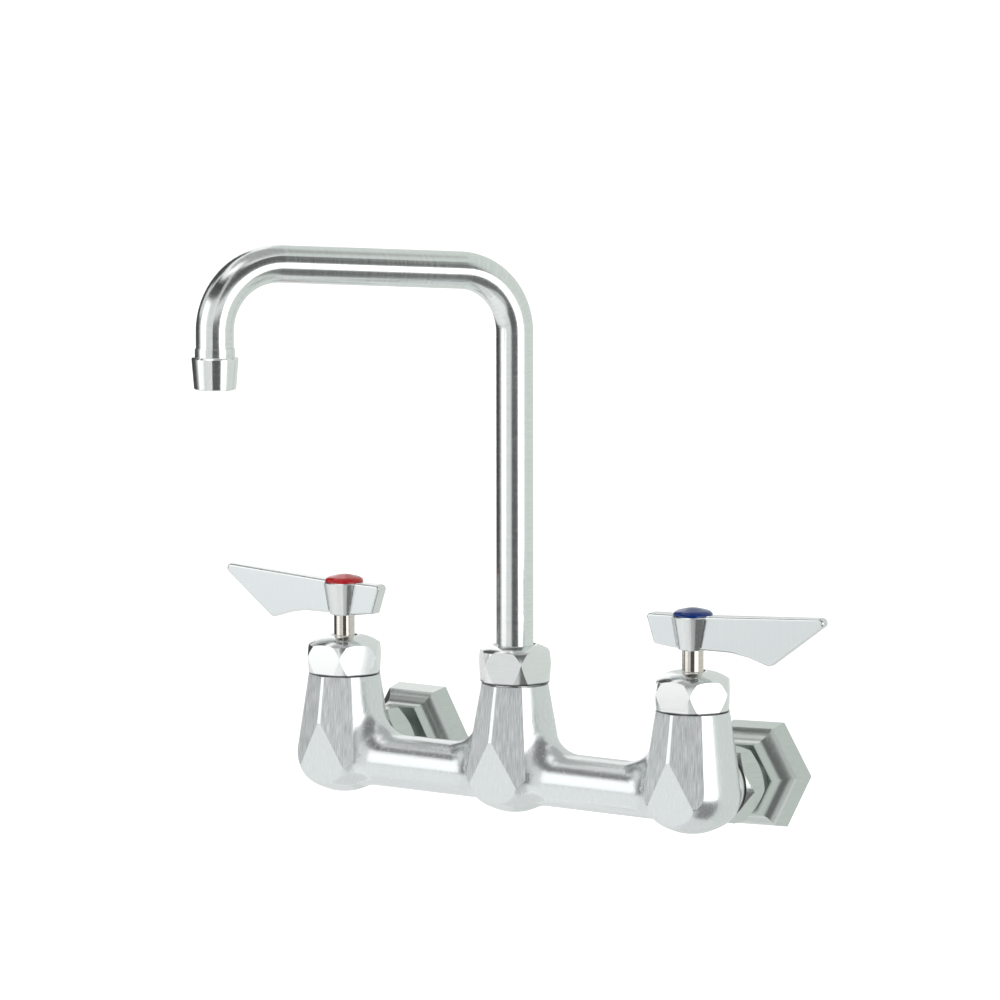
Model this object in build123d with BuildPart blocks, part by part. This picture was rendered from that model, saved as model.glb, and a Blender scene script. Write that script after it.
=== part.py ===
# Commercial wall faucet: two lever valves on 8 inch centres and a swinging double-bend spout.
# Millimetres. X runs along the bar towards the cold side, Y towards the wall, Z up.
# The origin lies on the wall plane, midway between the two inlets.
import os
from math import cos, pi, radians, sin, sqrt, tan

from build123d import *

# ---- layout ----
HALF_CENTRES = 101.6        # the inlets' nominal centres are 8 in apart
COLUMN_OUT = 60.6           # column axes stand this far from the wall
ECCENTRIC = 1.9             # each wall flange sits this much inside its coupling axis
FIT = 0.05                  # radial clearance of parts that are screwed or slid together
AIR = 0.3                   # clearance between parts that pass without touching

# ---- body casting ----
BELL_FOOT_R = 22.6          # widest radius of every bell
BELL_FOOT_Z = 3.0
BOWL = ((20.9, -9.5), (16.4, -14.6), (8.6, -18.4))
BOWL_BOTTOM_Z = -19.4
VALVE_TOP_R = 17.3
VALVE_TOP_Z = 37.8
SPOUT_TOP_R = 15.9
SPOUT_TOP_Z = 41.7
NECK_R = 13.0
NECK_HEIGHT = 10.3
BAR_R = 12.9
BAR_Z = -2.3
BAR_FILLET = 18.0
BOSS_R = 16.75
BOSS_OUT = 41.2             # distance of the boss face from the wall
SHANK_R = 13.2
SHANK_OUT = 34.2
RIDGE_ANGLE = 2.7           # half angle of the narrow strip left on the front ridge
FLAT_ANGLE = 48.0           # the ground flats end this far round from the front
TEARDROP_TOP_Z = 15.6
TEARDROP_TILT = 6.3         # degrees from upright
TEARDROP_TURN = 3.0         # degrees that the teardrop faces towards the cold side
WATERWAY_R = 5.0            # mixing passage along the bar
CHANNEL_Z = 3.4
INLET_R = 3.6               # passage from the shank to the seat
INLET_Z = -11.5

# ---- valve ----
SEAT_Z = -2.0
CHAMBER_R = 11.5
CHAMBER_TOP_Z = 22.0
CARTRIDGE_R = 9.7
CARTRIDGE_BORE_R = 8.3
CARTRIDGE_CHAMBER_Z = 14.6
FLANGE_R = 12.4
FLANGE_THICK = 2.2
STEM_R = 5.0
STEM_FOOT_Z = 9.6
STEM_TOP_Z = 75.4
SPLINE_R = 4.1
SPLINE_TEETH = 16
SPLINE_Z = 66.4
DISC_R = 7.9
DISC_THICK = 3.0
SEAL_THICK = 1.9
PORT_INNER_R = 1.4
PORT_OUTER_R = 6.2
FORK_THICK = 3.2
TANG_Z = 3.6                # the stem's tangs reach down to here
TANG_IN_R = 5.9
TANG_WIDTH = 4.0
STEM_RINGS_Z = (33.0, 37.0)
RING_Z = 30.0
WINDOW_Z = 9.0
SCREW_R = 1.95
SCREW_LENGTH = 9.0
SCREW_HEAD_R = 3.6
SCREW_HEAD = 2.3

# ---- nuts on the columns ----
# Each profile is (radius, height): foot, swell, corner at mid height, swell, shoulder, dome, top.
BONNET_PROFILE = (
    (17.4, 38.1), (18.4, 42.4), (19.25, 46.8), (18.55, 49.5), (17.7, 52.3), (13.1, 55.0), (6.6, 56.45),
)
SPOUT_NUT_PROFILE = (
    (16.5, 42.6), (17.45, 47.6), (18.3, 52.6), (17.6, 55.1), (16.8, 57.5), (13.5, 59.35), (10.4, 60.2),
)
SPOUT_NUT_TURN = 15.0       # degrees

# ---- lever handle ----
HUB_BOTTOM_Z = 66.5
HUB_BOTTOM_R = 6.9
HUB_TOP_Z = 82.4
HUB_TOP_R = 9.6
LEVER_THICK_HUB = 7.0
LEVER_THICK_TIP = 5.0
LEVER_LENGTH = 70.0
STUB_LENGTH = 23.9
LEVER_EDGE_R = 1.1
HUB_WEB_R = 2.4             # hollow between the blade and the hub
WEB_BITE = 0.04             # the webs cut this far into both
LEVER_OUTLINE = (           # distance from the hub's axis, height, corner radius
    (-19.2, 68.3, 1.2), (-23.9, 82.4, 2.0), (10.0, 83.1, 20.0), (71.0, 86.4, 2.4), (70.4, 82.6, 1.6),
    (42.1, 61.9, 1.6), (31.6, 65.2, 12.0), (22.0, 66.9, 20.0), (-9.0, 67.1, 20.0),
)
BUTTON_R = 9.3
BUTTON_TOP_Z = 86.2
BUTTON_SPIGOT_R = 8.0
BUTTON_SPIGOT = 2.6

# ---- spout ----
TUBE_R = 8.8
TUBE_BORE_R = 7.5
SPOUT_REACH = 152.4         # a 6 in spout
SPOUT_HEIGHT = 237.2        # centre line of the run, carried back to the riser's axis
SPOUT_RISE = 3.8            # degrees that the run climbs towards the outlet
SPOUT_BEND = 30.2
SPOUT_SWING = 29.0          # degrees that the spout is swung towards the hot side
SPOUT_FOOT_Z = 27.0
TUBE_END_Z = 198.8
SOCKET_R = 10.52
SOCKET_BOTTOM_Z = 22.0
SLEEVE_R = 10.45
SLEEVE_RINGS_Z = (33.0, 40.0)

# ---- aerator ----
AERATOR_BOTTOM_Z = 188.4
AERATOR_TOP_Z = 203.5
AERATOR_TOP_R = 10.9
AERATOR_BOTTOM_R = 9.75
AERATOR_LIP_R = 7.8
THREAD_R = 9.3              # male thread at the tube's end
INSERT_HEIGHT = 5.4

# ---- wall flange and coupling ----
RIM_BACK_R = 28.65          # over the corners, at the wall
RIM_FRONT_R = 26.5
RIM_THICK = 9.2
COVE_R = 18.9
COVE_OUT = 19.8
PIPE_THREAD_R = 9.3         # 1/2 in pipe thread, tapped hole
PIPE_THREAD_DEPTH = 15.0
SPUD_R = 10.2
SPUD_OUT = 32.3
SPUD_BORE_R = 6.5
COUPLING_R = 19.64          # over the corners
COUPLING_FRONT = 40.4
COUPLING_BACK = 26.2
UNION_RING_OUT = 30.9       # middle of the retaining ring

SIDES = {"hot": -1, "cold": 1}
LEVER_TURN = {"hot": 0.0, "cold": 3.2}
FLANGE_TURN = {"hot": 0.0, "cold": 2.3}
COUPLING_TURN = {"hot": 4.0, "cold": -5.5}

os.makedirs("parts", exist_ok=True)


def save(part, name):
    part.label = name
    export_step(part, f"parts/{name}.step")


def column_frame(side):
    """Frame on a column's axis: x points away from the spout column, z is up."""
    return Plane(origin=(side * HALF_CENTRES, -COLUMN_OUT, 0), x_dir=(side or 1, 0, 0), z_dir=(0, 0, 1))


def wall_frame(x):
    """Frame on the wall: z points out of the wall, y is up."""
    return Plane(origin=(x, 0, 0), x_dir=(1, 0, 0), z_dir=(0, -1, 0))


def upright(frame):
    """Drawing plane that holds a column's axis: (radius, height)."""
    return Plane(origin=frame.origin, x_dir=frame.x_dir, z_dir=-frame.y_dir)


def outward(frame):
    """Drawing plane that holds a wall axis: (radius, distance from the wall)."""
    return Plane(origin=frame.origin, x_dir=(1, 0, 0), z_dir=(0, 0, -1))


def axis_of(frame):
    return Axis(frame.origin, frame.z_dir)


def turned(frame, drawing, outline):
    """A closed (radius, height) outline, revolved about the frame's z."""
    with BuildPart() as piece:
        with BuildSketch(drawing(frame)):
            with BuildLine():
                Polyline(*outline, close=True)
            make_face()
        revolve(axis=axis_of(frame))
    return piece.part


def ring(frame, inner, outer, low, high):
    """A plain washer or sleeve about the frame's z."""
    with BuildPart() as piece:
        with BuildSketch(frame.offset(low)):
            Circle(outer)
            Circle(inner, mode=Mode.SUBTRACT)
        extrude(amount=high - low)
    return piece.part


def o_rings(frame, centre_r, section_r, heights):
    with BuildPart() as piece:
        for height in heights:
            with BuildSketch(upright(frame)):
                with Locations((centre_r, height)):
                    Circle(section_r)
            revolve(axis=axis_of(frame))
    return piece.part


# ---------------------------------------------------------------- body casting
def bell_radius(top_r, top_z, z):
    """Radius of a bell's straight flank at height z."""
    return top_r + (BELL_FOOT_R - top_r) * (top_z - z) / (top_z - BELL_FOOT_Z)


def bell(side, top_r, top_z):
    """One column: a straight flared flank over a rounded bowl, with its seam in front."""
    frame = column_frame(side)
    front = Plane(origin=frame.origin, x_dir=(0, -1, 0), z_dir=(-1, 0, 0))
    with BuildPart() as column:
        with BuildSketch(front):
            with BuildLine():
                flank = Line((top_r, top_z), (BELL_FOOT_R, BELL_FOOT_Z))
                Spline(flank @ 1, *BOWL, (0, BOWL_BOTTOM_Z), tangents=(flank % 1, (-1, 0)))
                Polyline((0, BOWL_BOTTOM_Z), (0, top_z), (top_r, top_z))
            make_face()
        revolve(axis=axis_of(frame))
    return column.part


def on_bar_surface(edge):
    points = [edge @ t for t in (0.0, 0.3, 0.6, 1.0)]
    return all(abs(sqrt((p.Y + COLUMN_OUT) ** 2 + (p.Z - BAR_Z) ** 2) - BAR_R) < 1e-3 for p in points)


def flat_cutter(side, top_r, top_z, hand):
    """Wedge that grinds one of the two front flats; hand is -1 for the left one, 1 for the right one."""
    inner_angle = radians(-90 + hand * RIDGE_ANGLE)
    outer_angle = radians(-90 + hand * FLAT_ANGLE)
    frame = Plane(origin=(side * HALF_CENTRES, -COLUMN_OUT, 0), x_dir=(1, 0, 0), z_dir=(0, 0, 1))
    with BuildPart() as cutter:
        for height in (top_z + 1, BOWL_BOTTOM_Z):
            r = bell_radius(top_r, top_z, height)
            with BuildSketch(frame.offset(height)):
                with BuildLine():
                    near = [(r * cos(a), r * sin(a)) for a in (inner_angle, outer_angle)]
                    far = [((r + 9) * cos(a), (r + 9) * sin(a)) for a in (outer_angle, inner_angle)]
                    Polyline(*near, *far, close=True)
                make_face()
        loft(ruled=True)
    return cutter.part


def teardrop_cutter(side, top_r, top_z):
    """Block whose tilted rear face grinds the teardrop at the foot of the front ridge."""
    ridge = bell_radius(top_r, top_z, TEARDROP_TOP_Z)
    tip = (side * HALF_CENTRES, -COLUMN_OUT - ridge, TEARDROP_TOP_Z)
    face = Plane(origin=tip, x_dir=(1, 0, 0), z_dir=(0, -1, 0)).rotated((TEARDROP_TILT, TEARDROP_TURN, 0))
    with BuildPart() as cutter:
        with BuildSketch(face):
            with Locations((0, -20)):
                Rectangle(60, 60)
        extrude(amount=15)
    return cutter.part


def rear_shank(side):
    """Boss and threaded shank behind a valve column."""
    return turned(wall_frame(side * HALF_CENTRES), outward, [
        (0, SHANK_OUT), (SHANK_R, SHANK_OUT), (SHANK_R, BOSS_OUT), (BOSS_R, BOSS_OUT),
        (BOSS_R, COLUMN_OUT - 3), (0, COLUMN_OUT - 3),
    ])


COLUMNS = (
    (-1, VALVE_TOP_R, VALVE_TOP_Z),
    (0, SPOUT_TOP_R, SPOUT_TOP_Z),
    (1, VALVE_TOP_R, VALVE_TOP_Z),
)

bells = [bell(*column) for column in COLUMNS]
with BuildPart() as casting:
    add(bells)
    with BuildSketch(Plane(origin=(-HALF_CENTRES, -COLUMN_OUT, BAR_Z), x_dir=(0, 1, 0), z_dir=(1, 0, 0))):
        Circle(BAR_R)
    extrude(amount=2 * HALF_CENTRES)
    seams = [edge for edge in casting.edges() if edge.geom_type != GeomType.LINE and on_bar_surface(edge)]
    fillet(seams, radius=BAR_FILLET)

cutters = []
for side, top_r, top_z in COLUMNS:
    cutters += [flat_cutter(side, top_r, top_z, hand) for hand in (-1, 1)]
    cutters.append(teardrop_cutter(side, top_r, top_z))
shanks = [rear_shank(side) for side in SIDES.values()]

with BuildPart() as body:
    add(casting.part)
    for cutter in cutters:
        add(cutter, mode=Mode.SUBTRACT)
    # The backs of the valve columns are faced off square for the coupling nuts
    for side in SIDES.values():
        with BuildSketch(wall_frame(side * HALF_CENTRES).offset(SHANK_OUT)):
            Circle(COUPLING_R + 1)
        extrude(amount=BOSS_OUT - SHANK_OUT, mode=Mode.SUBTRACT)
    for shank in shanks:
        add(shank)
    # Threaded necks under the three nuts
    for side, top_r, top_z in COLUMNS:
        with BuildSketch(column_frame(side).offset(top_z - 1)):
            Circle(NECK_R)
        extrude(amount=NECK_HEIGHT + 1)
    # Valve chambers: guide bore, wider outlet chamber, passage up through the seat
    for side in SIDES.values():
        frame = column_frame(side)
        with BuildSketch(frame.offset(SEAT_Z)):
            Circle(CHAMBER_R)
        extrude(amount=CHAMBER_TOP_Z - SEAT_Z, mode=Mode.SUBTRACT)
        with BuildSketch(frame.offset(CHAMBER_TOP_Z)):
            Circle(CARTRIDGE_R + FIT)
        extrude(amount=VALVE_TOP_Z + NECK_HEIGHT - CHAMBER_TOP_Z, mode=Mode.SUBTRACT)
        with BuildSketch(frame.offset(INLET_Z)):
            Circle(INLET_R)
        extrude(amount=SEAT_Z - INLET_Z, mode=Mode.SUBTRACT)
    # Inlet passages slope down from the shank's mouth to pass under the seat
    for side in SIDES.values():
        mouth = Vector(side * HALF_CENTRES, -SHANK_OUT, 0)
        foot = Vector(side * HALF_CENTRES, -COLUMN_OUT, INLET_Z)
        with BuildSketch(Plane(origin=mouth, x_dir=(1, 0, 0), z_dir=foot - mouth)):
            Circle(INLET_R)
        extrude(amount=(foot - mouth).length, mode=Mode.SUBTRACT)
    # Mixing passage along the bar and the spout's socket
    with BuildSketch(Plane(origin=(-HALF_CENTRES, -COLUMN_OUT, CHANNEL_Z), x_dir=(0, 1, 0), z_dir=(1, 0, 0))):
        Circle(WATERWAY_R)
    extrude(amount=2 * HALF_CENTRES, mode=Mode.SUBTRACT)
    with BuildSketch(column_frame(0).offset(CHANNEL_Z)):
        Circle(WATERWAY_R + 1.5)
    extrude(amount=SOCKET_BOTTOM_Z - CHANNEL_Z, mode=Mode.SUBTRACT)
    with BuildSketch(column_frame(0).offset(SOCKET_BOTTOM_Z)):
        Circle(SOCKET_R)
    extrude(amount=SPOUT_TOP_Z + NECK_HEIGHT - SOCKET_BOTTOM_Z, mode=Mode.SUBTRACT)
save(body.part, "faucet_body")


# ---------------------------------------------------------------- nuts on the columns
def column_nut(frame, profile, shelf, hole_r, turn):
    """Domed nut: a blank that swells to mid height, with six flats whose outlines meet at the corners."""
    foot, low_swell, corner, high_swell, shoulder, dome, top = profile
    bore_r = NECK_R + FIT
    with BuildPart() as nut:
        with BuildSketch(upright(frame)):
            with BuildLine():
                Polyline((bore_r, shelf), (bore_r, foot[1]), foot)
                ThreePointArc(foot, low_swell, corner)
                ThreePointArc(corner, high_swell, shoulder)
                ThreePointArc(shoulder, dome, top)
                Polyline(top, (hole_r, top[1] - 1.0), (hole_r, shelf), (bore_r, shelf))
            make_face()
        revolve(axis=axis_of(frame))
        with BuildSketch(frame.offset(foot[1])):
            RegularPolygon(corner[0] + 0.03, 6, rotation=turn)
        extrude(amount=top[1] - foot[1], mode=Mode.INTERSECT)
    return nut.part


# ---------------------------------------------------------------- valves and levers
def cartridge_housing(frame):
    """Brass housing: barrel with two outlet windows, an O-ring groove, and a flange under the bonnet nut."""
    flange_z = VALVE_TOP_Z + NECK_HEIGHT + FIT
    barrel_z = SEAT_Z + SEAL_THICK
    with BuildPart() as housing:
        with BuildSketch(upright(frame)):
            with BuildLine():
                Polyline(
                    (CARTRIDGE_BORE_R, barrel_z), (CARTRIDGE_R, barrel_z),
                    (CARTRIDGE_R, RING_Z - 1.1), (CARTRIDGE_R - 1.5, RING_Z - 1.1),
                    (CARTRIDGE_R - 1.5, RING_Z + 1.1), (CARTRIDGE_R, RING_Z + 1.1),
                    (CARTRIDGE_R, flange_z), (FLANGE_R, flange_z), (FLANGE_R, flange_z + FLANGE_THICK),
                    (STEM_R + FIT, flange_z + FLANGE_THICK), (STEM_R + FIT, CARTRIDGE_CHAMBER_Z),
                    (CARTRIDGE_BORE_R, CARTRIDGE_CHAMBER_Z), close=True,
                )
            make_face()
        revolve(axis=axis_of(frame))
        window = Plane(origin=frame.origin, x_dir=frame.y_dir, z_dir=frame.x_dir)
        with BuildSketch(window):
            with Locations((0, WINDOW_Z)):
                Rectangle(7.5, 4.6)
        extrude(amount=CARTRIDGE_R + 1, both=True, mode=Mode.SUBTRACT)
    return housing.part


def ceramic_disc(frame, radius, low, notch):
    """Disc with two butterfly ports; the moving one also has two notches for the stem's tangs."""
    corner = PORT_OUTER_R / sqrt(2)
    foot = PORT_INNER_R / sqrt(2)
    with BuildPart() as piece:
        with BuildSketch(frame.offset(low)):
            Circle(radius)
            for side in (-1, 1):
                with BuildLine():
                    Line((side * foot, -foot), (side * corner, -corner))
                    ThreePointArc((side * corner, -corner), (side * PORT_OUTER_R, 0), (side * corner, corner))
                    Line((side * corner, corner), (side * foot, foot))
                    ThreePointArc((side * foot, foot), (side * PORT_INNER_R, 0), (side * foot, -foot))
                make_face(mode=Mode.SUBTRACT)
            if notch:
                with Locations((0, radius), (0, -radius)):
                    Rectangle(notch, 2 * (radius - TANG_IN_R), mode=Mode.SUBTRACT)
        extrude(amount=DISC_THICK)
    return piece.part


def spline_outline(tip_r, root_r):
    """Points of the stem's toothed drive."""
    step = 2 * pi / SPLINE_TEETH
    points = []
    for tooth in range(SPLINE_TEETH):
        for r, part in ((tip_r, -0.2), (tip_r, 0.05), (root_r, 0.3), (root_r, 0.55)):
            angle = (tooth + part) * step
            points.append((r * cos(angle), r * sin(angle)))
    return points


def stem(frame):
    """Spindle: drive fork at the foot, two O-ring grooves, toothed top tapped for the handle screw."""
    low = STEM_FOOT_Z + FORK_THICK
    groove = STEM_R - 1.6
    outline = [(0, STEM_FOOT_Z), (DISC_R, STEM_FOOT_Z), (DISC_R, low), (STEM_R, low)]
    for height in STEM_RINGS_Z:
        outline += [(STEM_R, height - 1), (groove, height - 1), (groove, height + 1), (STEM_R, height + 1)]
    outline += [(STEM_R, SPLINE_Z), (0, SPLINE_Z)]
    with BuildPart() as spindle:
        with BuildSketch(upright(frame)):
            with BuildLine():
                Polyline(*outline, close=True)
            make_face()
        revolve(axis=axis_of(frame))
        with BuildSketch(frame.offset(SPLINE_Z)):
            with BuildLine():
                Polyline(*spline_outline(SPLINE_R, SPLINE_R - 0.45), close=True)
            make_face()
        extrude(amount=STEM_TOP_Z - SPLINE_Z)
        with BuildSketch(frame.offset(STEM_TOP_Z)):
            Circle(SCREW_R + FIT)
        extrude(amount=-SCREW_LENGTH, mode=Mode.SUBTRACT)
        # Two tangs that reach down into the moving disc's notches
        with BuildSketch(frame.offset(TANG_Z)):
            Circle(DISC_R)
            Circle(TANG_IN_R + 0.4, mode=Mode.SUBTRACT)
            Rectangle(TANG_WIDTH - 2 * FIT, 2 * DISC_R, mode=Mode.INTERSECT)
        extrude(amount=STEM_FOOT_Z - TANG_Z)
    return spindle.part


def lever_blade(frame):
    """Blade and stub: a side outline of (distance from the hub, height), thinned towards the tip."""
    half_hub, half_tip = LEVER_THICK_HUB / 2, LEVER_THICK_TIP / 2
    side_view = Plane(origin=frame.origin, x_dir=frame.x_dir, z_dir=-frame.y_dir)
    with BuildPart() as blade:
        with BuildSketch(side_view.offset(-half_hub)) as outline:
            with BuildLine():
                Polyline(*[(x, z) for x, z, radius in LEVER_OUTLINE], close=True)
            make_face()
            for x, z, radius in LEVER_OUTLINE:
                corner = outline.vertices().sort_by_distance((x, z))[0]
                fillet(corner, radius=radius)
        extrude(amount=2 * half_hub)
        with BuildSketch(frame.offset(HUB_BOTTOM_Z - 8)):
            with BuildLine():
                Polyline(
                    (-STUB_LENGTH - 1, -half_hub), (9, -half_hub), (LEVER_LENGTH + 2, -half_tip),
                    (LEVER_LENGTH + 2, half_tip), (9, half_hub), (-STUB_LENGTH - 1, half_hub), close=True,
                )
            make_face()
        extrude(amount=40, mode=Mode.INTERSECT)
        rims = [edge for edge in blade.edges() if abs(frame.to_local_coords(edge @ 0.5).Y) > half_tip / 2]
        fillet(rims, radius=LEVER_EDGE_R)
    return blade.part


def hub_web(frame, along, across):
    """One of the four small concave webs that blend the blade into the hub."""
    half = LEVER_THICK_HUB / 2 - WEB_BITE
    with BuildPart() as web:
        for height in (HUB_BOTTOM_Z + 1.6, HUB_TOP_Z - 1.2):
            share = (height - HUB_BOTTOM_Z) / (HUB_TOP_Z - HUB_BOTTOM_Z)
            hub_r = HUB_BOTTOM_R + (HUB_TOP_R - HUB_BOTTOM_R) * share - WEB_BITE
            reach = sqrt((hub_r + HUB_WEB_R) ** 2 - (half + HUB_WEB_R) ** 2)
            centre = Vector(along * reach, across * (half + HUB_WEB_R))
            on_hub = centre * (hub_r / (hub_r + HUB_WEB_R))
            on_blade = Vector(along * reach, across * half)
            middle = (on_hub + on_blade) * 0.5 - centre
            middle = centre + middle * (HUB_WEB_R / middle.length)
            with BuildSketch(frame.offset(height)):
                with BuildLine():
                    ThreePointArc(on_blade, middle, on_hub)
                    inside = (along * (reach - 1.0), across * (half - 0.9))
                    Polyline(on_hub, on_hub * 0.8, inside, on_blade)
                make_face()
        loft(ruled=True)
    return web.part


def lever(frame):
    """Lever handle: tapered hub, long blade with a drop point, short stub behind the hub."""
    blade = lever_blade(frame)
    webs = [hub_web(frame, along, across) for along in (-1, 1) for across in (-1, 1)]
    with BuildPart() as handle:
        with BuildSketch(upright(frame)):
            with BuildLine():
                Polyline(
                    (0, HUB_BOTTOM_Z), (HUB_BOTTOM_R - 0.4, HUB_BOTTOM_Z), (HUB_BOTTOM_R, HUB_BOTTOM_Z + 0.5),
                    (HUB_TOP_R, HUB_TOP_Z - 0.5), (HUB_TOP_R - 0.4, HUB_TOP_Z), (0, HUB_TOP_Z), close=True,
                )
            make_face()
        revolve(axis=axis_of(frame))
        add(blade)
        for web in webs:
            add(web)
        with BuildSketch(frame.offset(HUB_BOTTOM_Z)):
            with BuildLine():
                Polyline(*spline_outline(SPLINE_R + FIT, SPLINE_R - 0.45 + FIT), close=True)
            make_face()
        extrude(amount=STEM_TOP_Z - HUB_BOTTOM_Z + 0.2, mode=Mode.SUBTRACT)
        with BuildSketch(frame.offset(HUB_TOP_Z)):
            Circle(SCREW_HEAD_R + 0.3)
        extrude(amount=STEM_TOP_Z + 0.2 - HUB_TOP_Z, mode=Mode.SUBTRACT)
        with BuildSketch(frame.offset(HUB_TOP_Z)):
            Circle(BUTTON_SPIGOT_R + FIT)
        extrude(amount=-BUTTON_SPIGOT, mode=Mode.SUBTRACT)
        # The blade's crown is cut away round the button
        with BuildSketch(frame.offset(HUB_TOP_Z)):
            Circle(BUTTON_R + 0.15)
        extrude(amount=5, mode=Mode.SUBTRACT)
    return handle.part


def index_button(frame):
    """Coloured button: shallow dome with a spigot that snaps into the hub."""
    low = HUB_TOP_Z + 0.05
    spigot_z = low - BUTTON_SPIGOT + 0.1
    with BuildPart() as button:
        with BuildSketch(upright(frame)):
            with BuildLine():
                Polyline((0, BUTTON_TOP_Z), (0, spigot_z), (BUTTON_SPIGOT_R, spigot_z),
                         (BUTTON_SPIGOT_R, low), (BUTTON_R, low), (BUTTON_R, low + 0.7))
                Spline((BUTTON_R, low + 0.7), (BUTTON_R * 0.62, BUTTON_TOP_Z - 0.95), (0, BUTTON_TOP_Z),
                       tangents=((-0.35, 1), (-1, 0)))
            make_face()
        revolve(axis=axis_of(frame))
    return button.part


def handle_screw(frame):
    """Pan-head machine screw with a cross slot."""
    low = STEM_TOP_Z + 0.25
    with BuildPart() as screw:
        with BuildSketch(frame.offset(low)):
            Circle(SCREW_HEAD_R)
        extrude(amount=SCREW_HEAD)
        fillet(screw.faces().sort_by(Axis.Z)[-1].edges(), radius=0.8)
        with BuildSketch(frame.offset(low)):
            Circle(SCREW_R)
        extrude(amount=-(SCREW_LENGTH - 1))
        with BuildSketch(frame.offset(low + SCREW_HEAD)):
            Rectangle(3.6, 0.9)
            Rectangle(0.9, 3.6)
        extrude(amount=-1.3, mode=Mode.SUBTRACT)
    return screw.part


# ---------------------------------------------------------------- wall flanges and couplings
def wall_flange(frame, coupling_frame, turn):
    """Hexagonal wall flange with a hollow cove, a tapped pipe hole behind and an offset spud in front."""
    rim_back, rim_front, neck = (r * cos(pi / 6) for r in (RIM_BACK_R, RIM_FRONT_R, COVE_R))
    with BuildPart() as flange:
        for side_pair in range(3):
            angle = radians(turn + 30 + 60 * side_pair)
            across = Vector(cos(angle), 0, sin(angle))
            along = Vector(sin(angle), 0, -cos(angle))
            section = Plane(origin=frame.origin - along * 40, x_dir=across, z_dir=along)
            with BuildSketch(section):
                with BuildLine():
                    Polyline((0, 0), (rim_back, 0), (rim_front, RIM_THICK))
                    RadiusArc((rim_front, RIM_THICK), (neck, COVE_OUT), -9.2)
                    Polyline((neck, COVE_OUT), (0, COVE_OUT), (0, 0))
                make_face()
                mirror(about=Plane.YZ)
            extrude(amount=80, mode=Mode.ADD if side_pair == 0 else Mode.INTERSECT)
    spud = turned(coupling_frame, outward, [
        (0, COVE_OUT - 4), (SPUD_R, COVE_OUT - 4),
        (SPUD_R, UNION_RING_OUT - 0.7), (SPUD_R - 0.9, UNION_RING_OUT - 0.7),
        (SPUD_R - 0.9, UNION_RING_OUT + 0.7), (SPUD_R, UNION_RING_OUT + 0.7),
        (SPUD_R, SPUD_OUT), (0, SPUD_OUT),
    ])
    with BuildPart() as fitting:
        add(flange.part)
        add(spud)
        with BuildSketch(frame):
            Circle(PIPE_THREAD_R)
        extrude(amount=PIPE_THREAD_DEPTH, mode=Mode.SUBTRACT)
        with BuildSketch(coupling_frame.offset(PIPE_THREAD_DEPTH - 1)):
            Circle(SPUD_BORE_R)
        extrude(amount=SPUD_OUT - PIPE_THREAD_DEPTH + 2, mode=Mode.SUBTRACT)
    return fitting.part


def coupling_nut(frame, turn):
    """Hexagonal union nut, chamfered at both ends, with an inner shoulder at the wall end."""
    flat = COUPLING_R * cos(pi / 6) - 0.3
    chamfer = COUPLING_R - flat
    shelf = UNION_RING_OUT - 0.75
    with BuildPart() as nut:
        with BuildSketch(frame.offset(COUPLING_BACK)):
            RegularPolygon(COUPLING_R, 6, rotation=turn)
        extrude(amount=COUPLING_FRONT - COUPLING_BACK)
        with BuildSketch(outward(frame)):
            with BuildLine():
                Polyline(
                    (SPUD_R + AIR, COUPLING_BACK), (flat, COUPLING_BACK),
                    (COUPLING_R, COUPLING_BACK + chamfer), (COUPLING_R, COUPLING_FRONT - chamfer),
                    (flat, COUPLING_FRONT),
                    (SHANK_R + FIT, COUPLING_FRONT), (SHANK_R + FIT, shelf), (SPUD_R + AIR, shelf),
                    close=True,
                )
            make_face()
        revolve(axis=axis_of(frame), mode=Mode.INTERSECT)
    return nut.part


def split_ring(frame, inner, outer, low, thick):
    """Open retaining ring with a narrow gap."""
    with BuildPart() as clip:
        with BuildSketch(frame.offset(low)):
            Circle(outer)
            Circle(inner, mode=Mode.SUBTRACT)
            with Locations((0, outer)):
                Rectangle(2.4, 2 * outer, mode=Mode.SUBTRACT)
        extrude(amount=thick)
    return clip.part


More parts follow.
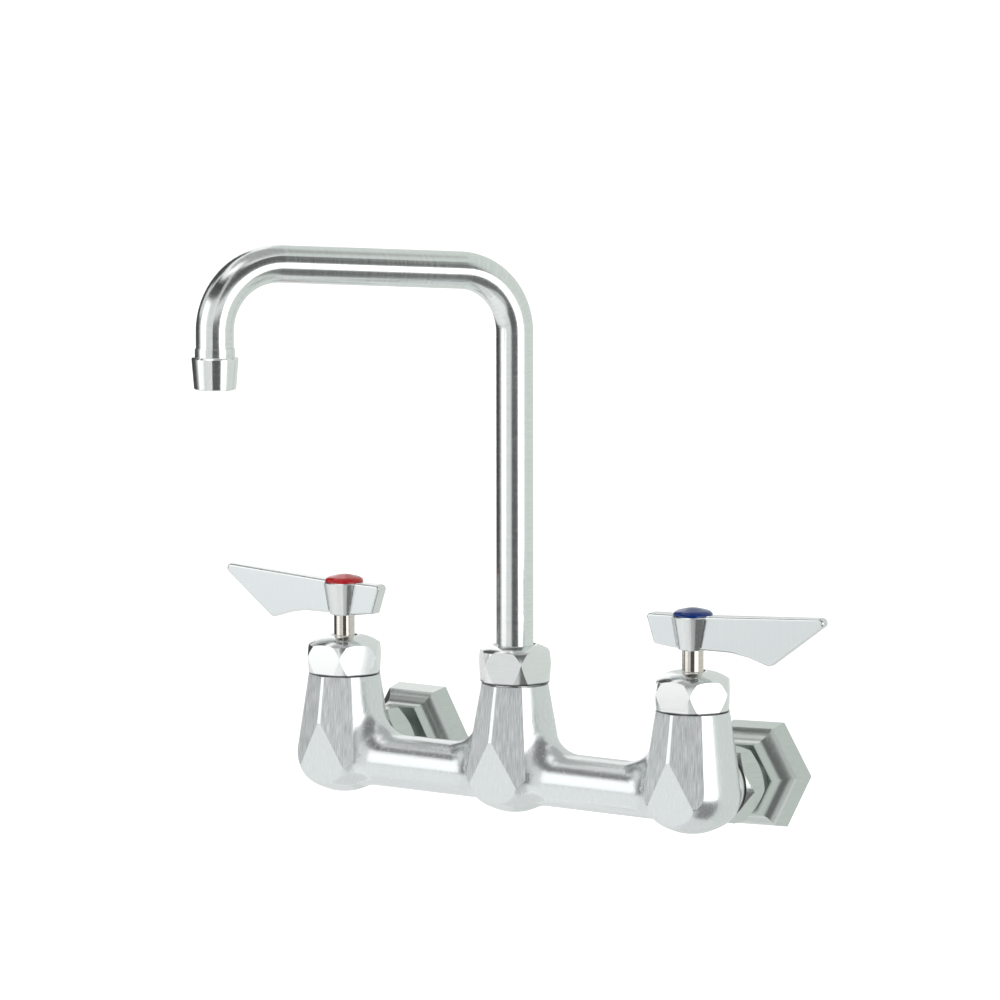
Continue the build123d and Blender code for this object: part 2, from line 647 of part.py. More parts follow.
for name, side in SIDES.items():
    column = column_frame(side)
    spindle = column.rotated((0, 0, side * LEVER_TURN[name]))
    coupling = wall_frame(side * HALF_CENTRES)
    inlet = wall_frame(side * (HALF_CENTRES - ECCENTRIC))
    barrel_z = SEAT_Z + SEAL_THICK
    fork_top = STEM_FOOT_Z + FORK_THICK
    pieces = {
        "bonnet_nut": column_nut(column, BONNET_PROFILE, VALVE_TOP_Z + NECK_HEIGHT + FLANGE_THICK + 2 * FIT,
                                 STEM_R + AIR, 0),
        "cartridge_housing": cartridge_housing(column),
        "cartridge_o_ring": o_rings(column, CARTRIDGE_R - 0.72, 0.74, [RING_Z]),
        "cartridge_seal": ring(column, PORT_OUTER_R + 0.2, CARTRIDGE_R - 0.2, SEAT_Z + 0.02, barrel_z - 0.02),
        "fixed_disc": ceramic_disc(column, CARTRIDGE_BORE_R - FIT, barrel_z, 0),
        "moving_disc": ceramic_disc(spindle, DISC_R, barrel_z + DISC_THICK + 0.02, TANG_WIDTH),
        "stem": stem(spindle),
        "stem_washer": ring(column, STEM_R + 0.1, DISC_R, fork_top + 0.02, CARTRIDGE_CHAMBER_Z - FIT),
        "stem_o_rings": o_rings(column, STEM_R - 0.8, 0.79, STEM_RINGS_Z),
        "handle": lever(spindle),
        "handle_screw": handle_screw(spindle),
        "index_button": index_button(spindle),
        "wall_flange": wall_flange(inlet, coupling, FLANGE_TURN[name]),
        "coupling_nut": coupling_nut(coupling, COUPLING_TURN[name]),
        "union_ring": split_ring(coupling, SPUD_R - 0.85, SHANK_R - 0.8, UNION_RING_OUT - 0.6, 1.2),
        "union_washer": ring(coupling, SPUD_BORE_R + 0.3, SHANK_R - 0.5, SPUD_OUT + 0.02, SHANK_OUT - 0.02),
    }
    for piece_name, piece in pieces.items():
        save(piece, f"{name}_{piece_name}")


# ---------------------------------------------------------------- spout
spout_frame = column_frame(0)
swing = radians(SPOUT_SWING)
rise = radians(SPOUT_RISE)
forward = Vector(-sin(swing), -cos(swing), 0)
spout_plane = Plane(origin=spout_frame.origin, x_dir=forward, z_dir=forward.cross(Vector(0, 0, 1)))
outlet_frame = Plane(origin=spout_frame.origin + forward * SPOUT_REACH, x_dir=forward, z_dir=(0, 0, 1))
outlet_corner_z = SPOUT_HEIGHT + SPOUT_REACH * tan(rise)

with BuildPart() as spout_tube:
    with BuildLine(spout_plane):
        FilletPolyline((0, SPOUT_FOOT_Z), (0, SPOUT_HEIGHT), (SPOUT_REACH, outlet_corner_z),
                       (SPOUT_REACH, TUBE_END_Z), radius=SPOUT_BEND)
    with BuildSketch(spout_frame.offset(SPOUT_FOOT_Z)):
        Circle(TUBE_R)
        Circle(TUBE_BORE_R, mode=Mode.SUBTRACT)
    sweep()
    # Swaged, threaded end that the aerator screws on
    with BuildSketch(outlet_frame.offset(TUBE_END_Z)):
        Circle(THREAD_R)
        Circle(TUBE_BORE_R, mode=Mode.SUBTRACT)
    extrude(amount=AERATOR_TOP_Z - TUBE_END_Z + 4)
save(spout_tube.part, "spout_tube")

socket_top = SPOUT_TOP_Z + NECK_HEIGHT
sleeve_outline = [(TUBE_R + 0.02, SPOUT_FOOT_Z), (SLEEVE_R, SPOUT_FOOT_Z)]
for height in SLEEVE_RINGS_Z:
    sleeve_outline += [(SLEEVE_R, height - 1.2), (SLEEVE_R - 1.2, height - 1.2)]
    sleeve_outline += [(SLEEVE_R - 1.2, height + 1.2), (SLEEVE_R, height + 1.2)]
sleeve_outline += [(SLEEVE_R, socket_top + 0.9), (FLANGE_R, socket_top + 0.9)]
sleeve_outline += [(FLANGE_R, socket_top + 3.0), (TUBE_R + 0.02, socket_top + 3.0)]
save(turned(spout_frame, upright, sleeve_outline), "spout_sleeve")
save(o_rings(spout_frame, SLEEVE_R - 0.6, 0.58, SLEEVE_RINGS_Z), "spout_o_rings")
slip_washer = ring(spout_frame, SLEEVE_R + 0.1, NECK_R - 0.3, socket_top + 0.02, socket_top + 0.8)
save(slip_washer, "spout_slip_washer")
thrust_washer = ring(spout_frame, TUBE_R + 0.4, NECK_R - 0.3, socket_top + 3.1, socket_top + 3.9)
save(thrust_washer, "spout_thrust_washer")
spout_nut = column_nut(spout_frame, SPOUT_NUT_PROFILE, socket_top + 3.95, TUBE_R + AIR, SPOUT_NUT_TURN)
save(spout_nut, "spout_nut")

# ---------------------------------------------------------------- aerator
save(turned(outlet_frame, upright, [
    (AERATOR_LIP_R, AERATOR_BOTTOM_Z), (AERATOR_BOTTOM_R - 0.5, AERATOR_BOTTOM_Z),
    (AERATOR_BOTTOM_R, AERATOR_BOTTOM_Z + 0.5), (AERATOR_TOP_R, AERATOR_TOP_Z - 0.8),
    (AERATOR_TOP_R - 0.6, AERATOR_TOP_Z), (THREAD_R + FIT, AERATOR_TOP_Z),
    (THREAD_R + FIT, AERATOR_BOTTOM_Z + 2),
    (AERATOR_LIP_R, AERATOR_BOTTOM_Z + 2),
]), "aerator_shell")

with BuildPart() as aerator_insert:
    with BuildSketch(outlet_frame.offset(AERATOR_BOTTOM_Z + 2.05)):
        Circle(THREAD_R - 0.05)
        with PolarLocations(5.2, 10):
            Circle(1.1, mode=Mode.SUBTRACT)
        with PolarLocations(2.2, 5):
            Circle(0.8, mode=Mode.SUBTRACT)
    extrude(amount=INSERT_HEIGHT)
save(aerator_insert.part, "aerator_insert")

insert_top = AERATOR_BOTTOM_Z + 2.05 + INSERT_HEIGHT
with BuildPart() as aerator_screen:
    with BuildSketch(outlet_frame.offset(insert_top + 0.02)):
        Circle(THREAD_R - 0.05)
        with GridLocations(2.6, 2.6, 5, 5):
            Rectangle(1.6, 1.6, mode=Mode.SUBTRACT)
    extrude(amount=0.5)
save(aerator_screen.part, "aerator_screen")
save(ring(outlet_frame, 6.8, THREAD_R - 0.05, insert_top + 0.55, TUBE_END_Z - 0.02), "aerator_washer")
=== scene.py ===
"""Commercial wall faucet: finishes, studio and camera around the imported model, in metres."""

import math

import bpy
from mathutils import Matrix, Vector


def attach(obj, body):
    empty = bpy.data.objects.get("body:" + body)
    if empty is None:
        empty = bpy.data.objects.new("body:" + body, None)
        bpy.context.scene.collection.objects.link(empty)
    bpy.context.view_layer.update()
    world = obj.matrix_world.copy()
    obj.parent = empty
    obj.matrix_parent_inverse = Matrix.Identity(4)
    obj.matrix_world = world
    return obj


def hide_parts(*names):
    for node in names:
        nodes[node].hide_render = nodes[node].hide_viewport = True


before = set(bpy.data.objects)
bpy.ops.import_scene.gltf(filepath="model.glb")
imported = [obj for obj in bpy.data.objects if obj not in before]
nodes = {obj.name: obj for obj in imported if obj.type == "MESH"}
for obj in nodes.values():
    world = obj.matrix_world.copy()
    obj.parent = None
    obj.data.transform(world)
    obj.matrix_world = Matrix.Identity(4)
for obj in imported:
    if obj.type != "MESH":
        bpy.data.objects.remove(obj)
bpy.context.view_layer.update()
scene = bpy.context.scene

# ---------------------------------------------------------------- camera
# It stands in front of the faucet and to its right, a little above it. Angles are in degrees.
CAMERA_AT = (1.593257, -2.276785, 0.459095)
CAMERA_AZIMUTH = -54.1410
CAMERA_RISE = 6.8920
CAMERA_ROLL = -0.0640
SENSOR_WIDTH = 36
FOCAL_LENGTH = 209.522
FARTHEST_SEEN = 50


def place_camera():
    lens = bpy.data.cameras.new("camera")
    lens.sensor_width = SENSOR_WIDTH
    lens.lens = FOCAL_LENGTH
    lens.clip_end = FARTHEST_SEEN
    camera = bpy.data.objects.new("camera", lens)
    scene.collection.objects.link(camera)
    around = Matrix.Rotation(math.radians(CAMERA_AZIMUTH + 90), 4, "Z")
    down = Matrix.Rotation(math.radians(90 - CAMERA_RISE), 4, "X")
    roll = Matrix.Rotation(math.radians(CAMERA_ROLL), 4, "Z")
    camera.matrix_world = Matrix.Translation(CAMERA_AT) @ around @ down @ roll
    scene.camera = camera


place_camera()


# ---------------------------------------------------------------- node helpers
MICRON = 0.000001


def new_material(name, metallic=0.0):
    material = bpy.data.materials.new(name)
    material.use_nodes = True
    tree = material.node_tree
    shader = tree.nodes["Principled BSDF"]
    shader.inputs["Metallic"].default_value = metallic
    return material, tree, shader


def add_node(tree, kind, **values):
    node = tree.nodes.new(kind)
    for key, value in values.items():
        setattr(node, key, value)
    return node


def own(tree, output):
    """The piece's own coordinates, in metres (Object), or its surface's direction in them (Normal)."""
    return add_node(tree, "ShaderNodeTexCoord").outputs[output]


def split(tree, vector):
    node = add_node(tree, "ShaderNodeSeparateXYZ")
    tree.links.new(vector, node.inputs["Vector"])
    return node.outputs["X"], node.outputs["Y"], node.outputs["Z"]


def join(tree, **parts):
    """A vector from the named parts X, Y and Z; a part that isn't named is 0."""
    node = add_node(tree, "ShaderNodeCombineXYZ")
    for axis, value in parts.items():
        tree.links.new(value, node.inputs[axis])
    return node.outputs["Vector"]


def stretched(tree, scale):
    """The piece's own coordinates times scale, which is how many grains fit in a metre along each axis."""
    mapping = add_node(tree, "ShaderNodeMapping")
    mapping.inputs["Scale"].default_value = scale
    tree.links.new(own(tree, "Object"), mapping.inputs["Vector"])
    return mapping.outputs["Vector"]


def noise(tree, vector, detail=4.0):
    node = add_node(tree, "ShaderNodeTexNoise")
    node.inputs["Scale"].default_value = 1.0
    node.inputs["Detail"].default_value = detail
    node.inputs["Roughness"].default_value = 0.6
    tree.links.new(vector, node.inputs["Vector"])
    return node.outputs["Fac"]


def spread(tree, value, low, high, source=(0.3, 0.7)):
    """Maps the source range of a value, by default a texture's middle range, to low...high."""
    node = add_node(tree, "ShaderNodeMapRange")
    node.inputs["From Min"].default_value = source[0]
    node.inputs["From Max"].default_value = source[1]
    node.inputs["To Min"].default_value = low
    node.inputs["To Max"].default_value = high
    tree.links.new(value, node.inputs["Value"])
    return node.outputs["Result"]


def tint(tree, texture, dark, light):
    """A colour that goes from dark to light over the texture's middle range."""
    node = add_node(tree, "ShaderNodeMix", data_type="RGBA")
    node.inputs["A"].default_value = (*dark, 1)
    node.inputs["B"].default_value = (*light, 1)
    tree.links.new(spread(tree, texture, 0, 1), node.inputs["Factor"])
    return node.outputs["Result"]


def mix(tree, kind, first, second, share):
    """Goes from first to second by share; kind is FLOAT for numbers and RGBA for colours."""
    node = add_node(tree, "ShaderNodeMix", data_type=kind)
    tree.links.new(share, node.inputs["Factor"])
    tree.links.new(first, node.inputs["A"])
    tree.links.new(second, node.inputs["B"])
    return node.outputs["Result"]


def calc(tree, operation, first, second=0.0):
    """One step of arithmetic on sockets or numbers."""
    node = add_node(tree, "ShaderNodeMath", operation=operation)
    for place, value in enumerate((first, second)):
        if isinstance(value, (int, float)):
            node.inputs[place].default_value = value
        else:
            tree.links.new(value, node.inputs[place])
    return node.outputs[0]


def bump(tree, shader, height, depth):
    """Fine relief that is depth metres deep where the height goes from 0 to 1."""
    node = add_node(tree, "ShaderNodeBump")
    node.inputs["Strength"].default_value = 1.0
    node.inputs["Distance"].default_value = depth
    tree.links.new(height, node.inputs["Height"])
    tree.links.new(node.outputs["Normal"], shader.inputs["Normal"])


def facing(tree, azimuth, tilt, tolerance):
    """1 where the surface faces azimuth (from +X) and tilt (above level), 0 from twice the tolerance on."""
    level = math.cos(math.radians(tilt))
    across = level * math.cos(math.radians(azimuth))
    ahead = level * math.sin(math.radians(azimuth))
    node = add_node(tree, "ShaderNodeVectorMath", operation="DOT_PRODUCT")
    tree.links.new(own(tree, "Normal"), node.inputs[0])
    node.inputs[1].default_value = (across, ahead, math.sin(math.radians(tilt)))
    edges = (math.cos(math.radians(2 * tolerance)), math.cos(math.radians(tolerance)))
    return spread(tree, node.outputs["Value"], 0, 1, edges)


# ---------------------------------------------------------------- plated casting
# Two ground flats stand on each column, and a teardrop face is cut across their feet.
FLAT_AZIMUTHS = (-115.35, -64.65)
FLAT_TILT = 8.7
FLAT_TOLERANCE = 1.6
FLAT_FOOT_Z = -0.005
TEARDROP_AZIMUTH = -87.0
TEARDROP_TILT = 6.3
TEARDROP_TOLERANCE = 2.5
# Painted shade: a near-black line where the shanks end beside the coupling nuts, painted in for the shadow in
# the gap between body and nut
GAP_SHADE_BEYOND_X = (0.06, 0.07)
GAP_SHADE_Y = (-0.0430, -0.0420)
# How many grains fit in a metre, across the brushing and along it
GRIND_ACROSS = 2100.0
GRIND_ALONG = 120.0


def across_flat(tree):
    """Distance sideways along the surface: it stays the same up and down a leaning flat."""
    sideways = add_node(tree, "ShaderNodeVectorMath", operation="CROSS_PRODUCT")
    tree.links.new(own(tree, "Normal"), sideways.inputs[0])
    sideways.inputs[1].default_value = (0, 0, 1)
    unit = add_node(tree, "ShaderNodeVectorMath", operation="NORMALIZE")
    tree.links.new(sideways.outputs["Vector"], unit.inputs[0])
    along = add_node(tree, "ShaderNodeVectorMath", operation="DOT_PRODUCT")
    tree.links.new(unit.outputs["Vector"], along.inputs[0])
    tree.links.new(own(tree, "Object"), along.inputs[1])
    return along.outputs["Value"]


def casting_plate():
    """Softly polished, with coarse upright brushing on the ground flats and fine on the teardrop faces."""
    material, tree, shader = new_material("body_plate", metallic=0.84)
    x, y, z = split(tree, own(tree, "Object"))
    polish = noise(tree, stretched(tree, (1500, 1500, 90)))
    sideways = calc(tree, "MULTIPLY", across_flat(tree), GRIND_ACROSS)
    grind = noise(tree, join(tree, X=sideways, Y=calc(tree, "MULTIPLY", z, GRIND_ALONG)), detail=3.0)

    left, right = (facing(tree, azimuth, FLAT_TILT, FLAT_TOLERANCE) for azimuth in FLAT_AZIMUTHS)
    above_foot = calc(tree, "GREATER_THAN", z, FLAT_FOOT_Z)
    flats = calc(tree, "MULTIPLY", calc(tree, "MAXIMUM", left, right), above_foot)
    teardrops = facing(tree, TEARDROP_AZIMUTH, TEARDROP_TILT, TEARDROP_TOLERANCE)
    # Painted shade: near-black colour in a band at the shanks' ends, for the shadow in the gap at the
    # coupling nuts.
    outer = spread(tree, calc(tree, "ABSOLUTE", x), 0, 1, GAP_SHADE_BEYOND_X)
    painted_gap_shade = calc(tree, "MULTIPLY", outer, spread(tree, y, 0, 1, GAP_SHADE_Y))

    polished = tint(tree, polish, (0.765, 0.795, 0.795), (0.825, 0.855, 0.855))
    ground = tint(tree, grind, (0.56, 0.585, 0.59), (0.96, 0.985, 0.985))
    pale = tint(tree, polish, (0.88, 0.92, 0.94), (0.91, 0.95, 0.97))
    painted_shade = tint(tree, polish, (0.04, 0.042, 0.045), (0.08, 0.082, 0.085))
    colour = mix(tree, "RGBA", polished, ground, flats)
    colour = mix(tree, "RGBA", colour, pale, teardrops)
    colour = mix(tree, "RGBA", colour, painted_shade, painted_gap_shade)
    tree.links.new(colour, shader.inputs["Base Color"])

    rough = mix(tree, "FLOAT", spread(tree, polish, 0.22, 0.28), spread(tree, grind, 0.52, 0.68), flats)
    rough = mix(tree, "FLOAT", rough, spread(tree, polish, 0.36, 0.42), teardrops)
    tree.links.new(rough, shader.inputs["Roughness"])
    bump(tree, shader, mix(tree, "FLOAT", polish, grind, flats), 2 * MICRON)
    return material


# ---------------------------------------------------------------- plated spout
SPOUT_AXIS_Y = -0.0606
SPOUT_SWING = 29.0
REACH = 0.1524
BEND = 0.0302
RUN_START_Z = 0.2372 - BEND
RUN_END_Z = 0.2473 - BEND
# How many ticks fit in a metre, along the tube and round it
TICKS_ALONG = 1500.0
TICKS_ROUND = 110.0


def along_tube(tree):
    """Distance along the spout's centre line: riser, bend, run, bend and drop."""
    x, y, up = split(tree, own(tree, "Object"))
    swing = math.radians(SPOUT_SWING)
    sideways = calc(tree, "MULTIPLY", x, -math.sin(swing))
    forward = calc(tree, "MULTIPLY", calc(tree, "ADD", y, -SPOUT_AXIS_Y), -math.cos(swing))
    out = calc(tree, "ADD", sideways, forward)

    def above(value, level):
        return calc(tree, "MAXIMUM", calc(tree, "SUBTRACT", value, level), 0.0)

    def below(value, level):
        return calc(tree, "MAXIMUM", calc(tree, "SUBTRACT", level, value), 0.0)

    def total(*lengths):
        length = lengths[0]
        for more in lengths[1:]:
            length = calc(tree, "ADD", length, more)
        return length

    first_turn = calc(tree, "ARCTAN2", above(up, RUN_START_Z), below(out, BEND))
    first_bend = calc(tree, "MULTIPLY", first_turn, BEND)
    first = total(first_bend, above(out, BEND), calc(tree, "MINIMUM", up, RUN_START_Z))
    last_turn = calc(tree, "ARCTAN2", above(out, REACH - BEND), above(up, RUN_END_Z))
    last_bend = calc(tree, "MULTIPLY", last_turn, BEND)
    riser_and_bend = RUN_START_Z + BEND * math.pi / 2 - BEND
    last = total(last_bend, below(up, RUN_END_Z), calc(tree, "MINIMUM", out, REACH - BEND), riser_and_bend)
    return mix(tree, "FLOAT", first, last, calc(tree, "GREATER_THAN", out, REACH / 2))


def tube_plate():
    """Polished round the tube's axis, which leaves fine ticks across it."""
    material, tree, shader = new_material("tube_plate", metallic=1.0)
    x, y, _ = split(tree, own(tree, "Object"))
    along = calc(tree, "MULTIPLY", along_tube(tree), TICKS_ALONG)
    first_side = calc(tree, "MULTIPLY", x, TICKS_ROUND)
    second_side = calc(tree, "MULTIPLY", y, TICKS_ROUND)
    ticks = noise(tree, join(tree, X=along, Y=first_side, Z=second_side))
    tree.links.new(tint(tree, ticks, (0.77, 0.80, 0.79), (0.87, 0.90, 0.885)), shader.inputs["Base Color"])
    tree.links.new(spread(tree, ticks, 0.17, 0.24), shader.inputs["Roughness"])
    bump(tree, shader, ticks, 1.5 * MICRON)
    return material


# ---------------------------------------------------------------- plated levers
# Up to the first slope a surface counts as the blade's side, and from the second on as an edge or the hub.
SIDE_SLOPES = (0.03, 0.09)


def lever_plate():
    """Upright brushing on the blade's sides, smoother on the hub and the edges."""
    material, tree, shader = new_material("blade_plate", metallic=1.0)
    scratches = noise(tree, stretched(tree, (1900, 1900, 60)))
    slope = calc(tree, "ABSOLUTE", split(tree, own(tree, "Normal"))[2])
    sides = spread(tree, slope, 1, 0, SIDE_SLOPES)
    smooth = tint(tree, scratches, (0.78, 0.805, 0.80), (0.84, 0.865, 0.86))
    satin = tint(tree, scratches, (0.71, 0.745, 0.75), (0.745, 0.78, 0.785))
    tree.links.new(mix(tree, "RGBA", smooth, satin, sides), shader.inputs["Base Color"])
    fine, coarse = spread(tree, scratches, 0.17, 0.21), spread(tree, scratches, 0.32, 0.38)
    tree.links.new(mix(tree, "FLOAT", fine, coarse, sides), shader.inputs["Roughness"])
    bump(tree, shader, scratches, 1.5 * MICRON)
    return material


# ---------------------------------------------------------------- other metals
def brushed(name, dark, light, rough, grains, depth, shade_heights=None):
    """Fine scratches in colour, roughness and relief. Below the two given heights the colour goes near-black:
    painted shade in the gap at the nut's foot.
    """
    material, tree, shader = new_material(name, metallic=1.0)
    scratches = noise(tree, stretched(tree, grains))
    colour = tint(tree, scratches, dark, light)
    if shade_heights:
        painted_shade = tint(tree, scratches, (0.05, 0.052, 0.055), (0.09, 0.092, 0.095))
        z = split(tree, own(tree, "Object"))[2]
        colour = mix(tree, "RGBA", painted_shade, colour, spread(tree, z, 0, 1, shade_heights))
    tree.links.new(colour, shader.inputs["Base Color"])
    tree.links.new(spread(tree, scratches, *rough), shader.inputs["Roughness"])
    bump(tree, shader, scratches, depth)
    return material


casting_metal = casting_plate()
tube_metal = tube_plate()
lever_metal = lever_plate()
# Dark and light shade, range of roughness, grains in a metre and depth of the relief
NUT_LOOK = ((0.85, 0.87, 0.865), (0.90, 0.92, 0.915), (0.14, 0.19), (200, 200, 1600), MICRON)
# The bonnet and spout nuts carry painted shade at their feet, where they meet the body.
bonnet_metal = brushed("bonnet_plate", *NUT_LOOK, shade_heights=(0.0386, 0.0391))
spout_nut_metal = brushed("nut_plate", *NUT_LOOK, shade_heights=(0.0430, 0.0436))
collar_metal = brushed("collar_plate", *NUT_LOOK)
fitting_metal = brushed("fitting_plate", (0.62, 0.655, 0.635), (0.68, 0.72, 0.695), (0.22, 0.27),
                        (1500, 70, 1500), 0.7 * MICRON)
nickel = brushed("nickel", (0.66, 0.62, 0.57), (0.78, 0.745, 0.70), (0.08, 0.12),
                 (200, 200, 1600), MICRON)
steel = brushed("stainless", (0.50, 0.51, 0.52), (0.62, 0.63, 0.64), (0.25, 0.35),
                (900, 900, 900), 2 * MICRON)
brass = brushed("turned_brass", (0.60, 0.46, 0.20), (0.76, 0.60, 0.30), (0.22, 0.34),
                (300, 300, 3000), 2 * MICRON)


# ---------------------------------------------------------------- plastics, rubber and ceramic
def moulded(name, dark, light, rough, grain, coat=0.0, gloss=0.5):
    """A faintly mottled moulding; grain is how many mottles fit in a metre."""
    material, tree, shader = new_material(name)
    mottle = noise(tree, stretched(tree, (grain, grain, grain)))
    tree.links.new(tint(tree, mottle, dark, light), shader.inputs["Base Color"])
    tree.links.new(spread(tree, mottle, *rough), shader.inputs["Roughness"])
    shader.inputs["Coat Weight"].default_value = coat
    shader.inputs["Coat Roughness"].default_value = 0.04
    shader.inputs["Specular IOR Level"].default_value = gloss
    return material


red = moulded("red_button", (0.46, 0.008, 0.012), (0.54, 0.014, 0.018), (0.10, 0.14), 300, 0.5, 0.25)
blue = moulded("blue_button", (0.003, 0.025, 0.15), (0.005, 0.035, 0.20), (0.10, 0.14), 300, 0.5, 0.25)
rubber = moulded("rubber", (0.015, 0.015, 0.015), (0.03, 0.03, 0.03), (0.55, 0.75), 1500)
fibre = moulded("fibre", (0.22, 0.03, 0.02), (0.34, 0.06, 0.04), (0.7, 0.9), 2500)
ceramic = moulded("ceramic", (0.80, 0.80, 0.76), (0.88, 0.88, 0.85), (0.08, 0.14), 900)
acetal = moulded("acetal", (0.78, 0.78, 0.75), (0.85, 0.85, 0.82), (0.35, 0.45), 900)
grey_plastic = moulded("aerator_plastic", (0.40, 0.41, 0.43), (0.50, 0.51, 0.53), (0.35, 0.45), 900)


# ---------------------------------------------------------------- which piece is made of what
# The hot and the cold side's pieces share a row.
FINISH = {
    "faucet_body": casting_metal,
    "spout_nut": spout_nut_metal,
    "bonnet_nut": bonnet_metal,
    "spout_tube": tube_metal,
    "aerator_shell": collar_metal,
    "handle": lever_metal,
    "wall_flange": fitting_metal,
    "coupling_nut": fitting_metal,
    "stem": nickel,
    "cartridge_housing": brass,
    "spout_sleeve": brass,
    "handle_screw": steel,
    "union_ring": steel,
    "aerator_screen": steel,
    "aerator_insert": grey_plastic,
    "fixed_disc": ceramic,
    "moving_disc": ceramic,
    "stem_washer": acetal,
    "spout_slip_washer": acetal,
    "spout_thrust_washer": acetal,
    "union_washer": fibre,
    "cartridge_o_ring": rubber,
    "cartridge_seal": rubber,
    "stem_o_rings": rubber,
    "spout_o_rings": rubber,
    "aerator_washer": rubber,
    "hot_index_button": red,
    "cold_index_button": blue,
}
for name, piece in nodes.items():
    either_side = name.removeprefix("hot_").removeprefix("cold_")
    piece.data.materials.clear()
    piece.data.materials.append(FINISH.get(name) or FINISH[either_side])


# ---------------------------------------------------------------- wall flanges
# The solid flange swells between its rim and its neck, where the real one has a hollow cove.
# Both ends of the cove, as (distance from the pipe's axis across the flats, distance from the wall)
RIM = Vector((0.02295, 0.0092))
NECK = Vector((0.01637, 0.0198))
MIDDLE = (RIM + NECK) / 2
CHORD = NECK - RIM
ALONG = CHORD.normalized()
AWAY = Vector((ALONG.y, -ALONG.x))
SWELL_R = 0.0092
HOLLOW_R = 0.0113
SWELL_HALF = math.asin(CHORD.length / 2 / SWELL_R)
HOLLOW_HALF = math.asin(CHORD.length / 2 / HOLLOW_R)
SWELL_CENTRE = MIDDLE - AWAY * SWELL_R * math.cos(SWELL_HALF)
HOLLOW_CENTRE = MIDDLE + AWAY * HOLLOW_R * math.cos(HOLLOW_HALF)
# What is nearer to either end of the cove than this stays in place.
END_MARGIN = 0.00002
PIPE_X = 0.0997
COLD_FLANGE_TURN = 2.3
SHARP_ANGLE = 32


def hollowed(point):
    """Moves a point of the swell to the same share of the hollow arc, counted from the middle of each arc."""
    arm = point - SWELL_CENTRE
    lean = math.atan2(arm.dot(ALONG), arm.dot(AWAY)) / SWELL_HALF * HOLLOW_HALF
    return HOLLOW_CENTRE + (ALONG * math.sin(lean) - AWAY * math.cos(lean)) * HOLLOW_R


def hollow_flange(name, pipe_x, turn):
    """A copy of a hexagonal flange, with the swell between rim and neck moved onto the hollow arc."""
    flats = [math.radians(turn + 30 + 60 * side) for side in range(6)]
    mesh = nodes[name].data.copy()
    for vertex in mesh.vertices:
        x, z = vertex.co.x - pipe_x, vertex.co.z
        across = max(x * math.cos(flat) + z * math.sin(flat) for flat in flats)
        out = -vertex.co.y
        if RIM.y + END_MARGIN < out < NECK.y - END_MARGIN and across > NECK.x:
            new_across, new_out = hollowed(Vector((across, out)))
            scale = new_across / across
            vertex.co = (pipe_x + x * scale, -new_out, z * scale)
    # The stored normals are the swell's: they go, and the edges are marked afresh.
    if "custom_normal" in mesh.attributes:
        mesh.attributes.remove(mesh.attributes["custom_normal"])
    mesh.set_sharp_from_angle(angle=math.radians(SHARP_ANGLE))
    piece = bpy.data.objects.new(name.replace("wall_flange", "hollow_wall_flange"), mesh)
    scene.collection.objects.link(piece)
    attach(piece, "fixture")
    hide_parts(name)


hollow_flange("hot_wall_flange", -PIPE_X, 0.0)
hollow_flange("cold_wall_flange", PIPE_X, COLD_FLANGE_TURN)


# ---------------------------------------------------------------- studio
# Turns count from the camera, to the right, and rises from the horizontal, both in degrees from the centre.
CENTRE = Vector((0, -0.06, 0.1))
FLOOR_Z = -0.6
FLOOR_HALF = 15
OVER_FLOOR = 0.002
PANEL_COLUMNS, PANEL_ROWS = 12, 10
# Watts that a lamp of one square metre needs for a brightness of 1
LAMP_WATTS = 4
# The white background and the floor's glow: for the light on the object, and for the eye and reflections
WORLD_LIGHT, WORLD_SEEN = 0.7, 1.1
GLOW_LIGHT, GLOW_SEEN = 0.0, 0.6
FLOOR_SHADE = 0.75


def direction(turn, rise):
    angle = math.radians(CAMERA_AZIMUTH + turn)
    level = math.cos(math.radians(rise))
    return Vector((level * math.cos(angle), level * math.sin(angle), math.sin(math.radians(rise))))


def between(ends, share):
    return ends[0] + (ends[1] - ends[0]) * share


def stage_mesh(name, points, faces, material):
    mesh = bpy.data.meshes.new(name)
    mesh.from_pydata(points, [], faces)
    mesh.materials.append(material)
    piece = bpy.data.objects.new(name, mesh)
    scene.collection.objects.link(piece)
    return piece


def glowing(name, shade):
    material, tree, shader = new_material(name)
    tree.nodes.remove(shader)
    glow = add_node(tree, "ShaderNodeEmission")
    glow.inputs["Color"].default_value = (*shade, 1)
    tree.links.new(glow.outputs["Emission"], tree.nodes["Material Output"].inputs["Surface"])
    return material


def panel(name, turns, rises, shade, distance=2.6):
    """A curved card that fills a range of directions; where it would pass the floor it lies on it."""
    points, faces = [], []
    for row in range(PANEL_ROWS + 1):
        for column in range(PANEL_COLUMNS + 1):
            ray = direction(between(turns, column / PANEL_COLUMNS), between(rises, row / PANEL_ROWS))
            to_floor = (FLOOR_Z + OVER_FLOOR - CENTRE.z) / ray.z if ray.z < 0 else distance
            points.append(CENTRE + ray * min(distance, to_floor))
    for row in range(PANEL_ROWS):
        for column in range(PANEL_COLUMNS):
            first = row * (PANEL_COLUMNS + 1) + column
            above = first + PANEL_COLUMNS + 1
            faces.append((first, first + 1, above + 1, above))
    piece = stage_mesh(name, points, faces, glowing(name, shade))
    piece.visible_camera = False
    piece.visible_shadow = False
    piece.visible_diffuse = False


def grey(level):
    """A grey that is slightly cool."""
    return (level * 0.985, level, level)


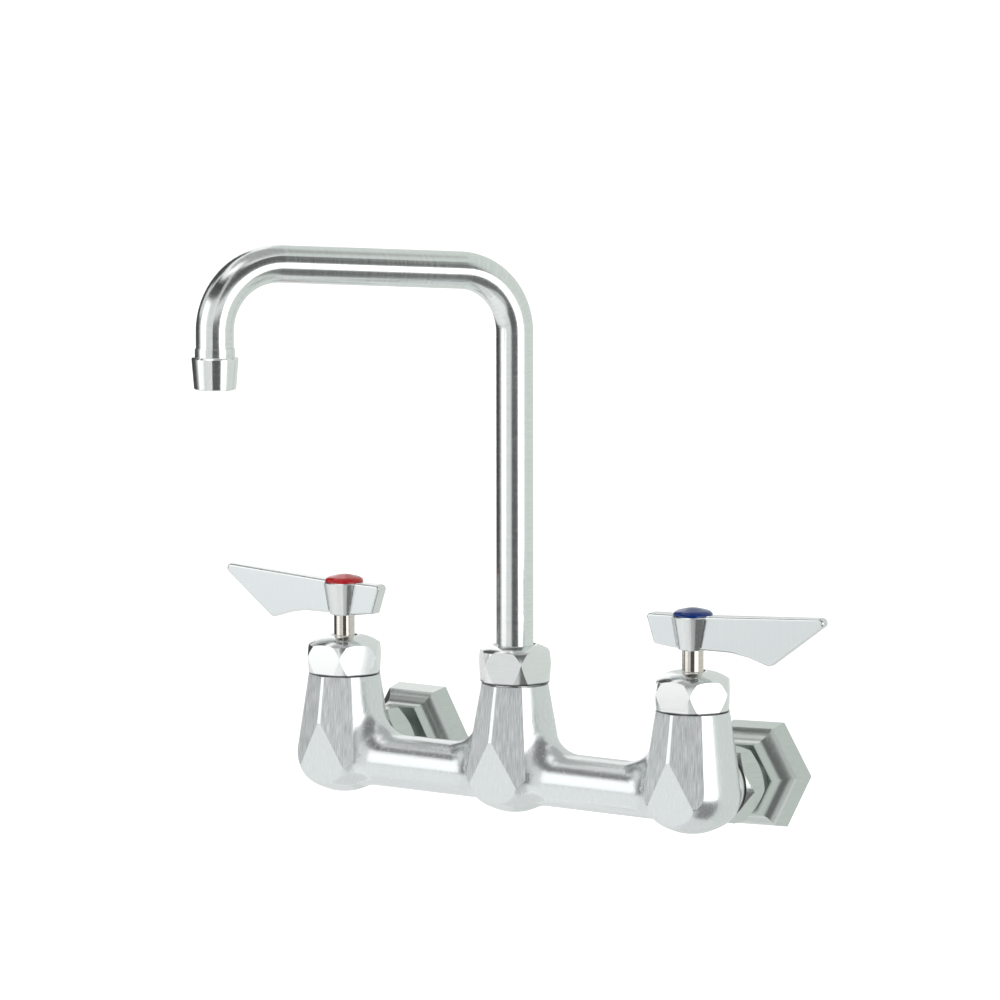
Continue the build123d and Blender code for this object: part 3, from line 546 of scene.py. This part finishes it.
# Flags are the dark cards, and screens and cards the pale ones. A nearer one hides what is behind it.
panel("flag_front", (-20, 20), (-26, 10), grey(0.10), distance=1.0)
panel("card_front_high", (-20, 22), (10, 21), grey(0.92), distance=1.0)
panel("flag_front_top", (-20, 20), (21, 58), grey(0.10), distance=1.0)
panel("flag_front_high", (8, 66), (13, 55), grey(0.12))
panel("flag_front_low", (16, 62), (-62, -10), grey(0.15))
panel("screen_left", (-50, -20), (-30, 58), grey(0.78))
panel("screen_far_left", (-105, -50), (-14, 34), grey(0.40))
panel("flag_left_high", (-96, -20), (29, 51), grey(0.04), distance=2.5)
panel("flag_back_left", (-160, -105), (-13, 52), grey(0.07))
panel("screen_left_edge", (-120, -100), (9, 33), grey(0.78), distance=2.4)
panel("screen_right", (60, 182), (-62, 62), (0.70, 0.735, 0.71))
panel("screen_top", (-180, 180), (62, 90), grey(0.42))
panel("card_left", (-105, -50), (-60, -14), grey(0.92))
panel("card_front", (-50, -10), (-60, -26), grey(0.95))
panel("card_front_dim", (-10, 16), (-60, -16), grey(0.62))
panel("card_back", (-178, -105), (-60, -13), grey(0.84))
panel("card_floor", (-180, 180), (-90, -62), grey(0.78))


def softbox(name, turn, rise, size, brightness, distance=1.9):
    """A soft lamp aimed at the centre. A reflection of it adds its brightness to what is behind it."""
    light = bpy.data.lights.new(name, "AREA")
    light.shape = "RECTANGLE"
    light.size, light.size_y = size
    light.energy = LAMP_WATTS * brightness * size[0] * size[1]
    lamp = bpy.data.objects.new(name, light)
    scene.collection.objects.link(lamp)
    lamp.location = CENTRE + direction(turn, rise) * distance
    lamp.rotation_euler = (lamp.location - CENTRE).to_track_quat("Z", "Y").to_euler()
    lamp.visible_camera = False


softbox("softbox_left", -72, 9, (1.38, 1.36), 0.78)
softbox("softbox_right", 40, 1.6, (0.52, 0.49), 1.15, distance=0.9)
softbox("softbox_top", -42, 66, (0.6, 0.5), 0.6)


def seen_by_eye(tree, low, high):
    """A strength of high for camera, glossy and transmission rays, and low for the light on the object."""
    rays = add_node(tree, "ShaderNodeLightPath")
    either = calc(tree, "MAXIMUM", rays.outputs["Is Camera Ray"], rays.outputs["Is Glossy Ray"])
    either = calc(tree, "MAXIMUM", either, rays.outputs["Is Transmission Ray"])
    return spread(tree, either, low, high, (0, 1))


def white_world():
    world = bpy.data.worlds.new("studio")
    scene.world = world
    world.use_nodes = True
    tree = world.node_tree
    background = tree.nodes["Background"]
    background.inputs["Color"].default_value = (1, 1, 1, 1)
    tree.links.new(seen_by_eye(tree, WORLD_LIGHT, WORLD_SEEN), background.inputs["Strength"])


def white_floor():
    """A pale floor with a glow that only the eye sees, so that it is white and keeps the object's shadow."""
    material, tree, shader = new_material("floor")
    shader.inputs["Base Color"].default_value = (FLOOR_SHADE, FLOOR_SHADE, FLOOR_SHADE, 1)
    shader.inputs["Roughness"].default_value = 0.9
    glow = add_node(tree, "ShaderNodeEmission")
    both = add_node(tree, "ShaderNodeAddShader")
    tree.links.new(seen_by_eye(tree, GLOW_LIGHT, GLOW_SEEN), glow.inputs["Strength"])
    tree.links.new(shader.outputs["BSDF"], both.inputs[0])
    tree.links.new(glow.outputs["Emission"], both.inputs[1])
    tree.links.new(both.outputs["Shader"], tree.nodes["Material Output"].inputs["Surface"])
    corners = [(x * FLOOR_HALF, y * FLOOR_HALF, FLOOR_Z) for x, y in ((-1, -1), (1, -1), (1, 1), (-1, 1))]
    stage_mesh("floor", corners, [(0, 1, 2, 3)], material)


white_world()
white_floor()
scene.view_settings.view_transform = "Standard"
